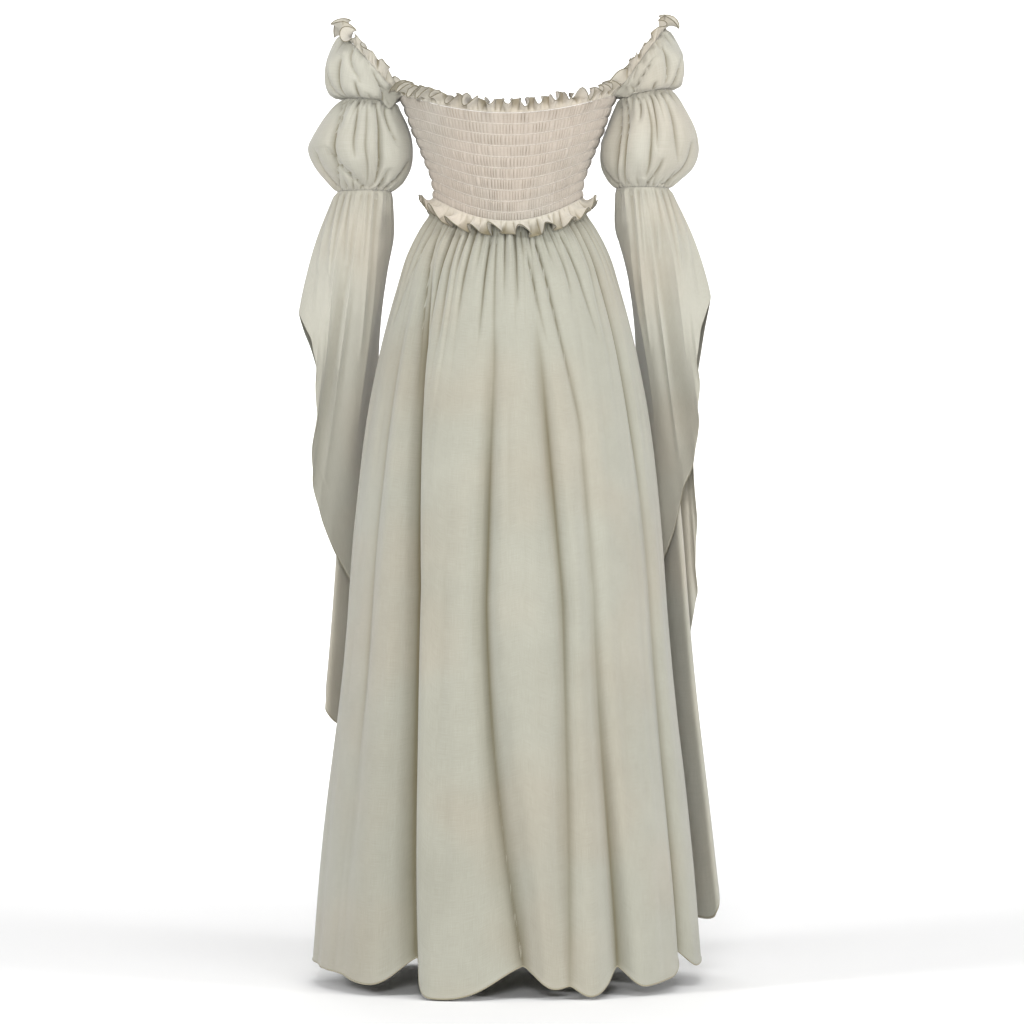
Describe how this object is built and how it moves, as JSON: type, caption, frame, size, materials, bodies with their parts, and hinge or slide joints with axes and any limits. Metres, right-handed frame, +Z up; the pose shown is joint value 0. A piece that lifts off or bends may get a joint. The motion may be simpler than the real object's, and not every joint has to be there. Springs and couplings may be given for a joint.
{
  "type": "court dress",
  "caption": "Off-shoulder floor-length gown with a shirred bodice, puffed and belled sleeves, ruffled neck and waist, and a gathered skirt; worn shape, hollow, open at neck, hands and hem.",
  "frame": {"origin": "middle of the bodice's hollow at chest height, where the wearer holds the dress up", "axes": "+Z up the dress, +Y towards the wearer's front, +X towards the wearer's right"},
  "size_m": [0.6292, 0.4804, 1.4184],
  "materials": {
    "bodice": "matt plain-weave cotton, shirred on elastic",
    "ruffles": "matt plain-weave cotton, narrow rolled edge",
    "sleeves": "matt plain-weave cotton, gathered",
    "skirt": "matt plain-weave cotton, hanging in folds"
  },
  "bodies": {
    "root": {"bodice_back": "bodice", "bodice_front": "bodice", "neck_ruffle_back": "ruffles", "neck_ruffle_front": "ruffles", "waist_ruffle_back": "ruffles", "waist_ruffle_front": "ruffles", "sleeve_ruffle_left": "ruffles", "sleeve_ruffle_right": "ruffles", "upper_puff_left": "sleeves", "upper_puff_right": "sleeves", "lower_puff_left": "sleeves", "lower_puff_right": "sleeves", "bell_sleeve_left": "sleeves", "bell_sleeve_right": "sleeves", "skirt_back": "skirt", "skirt_front": "skirt"}
  },
  "joints": []
}
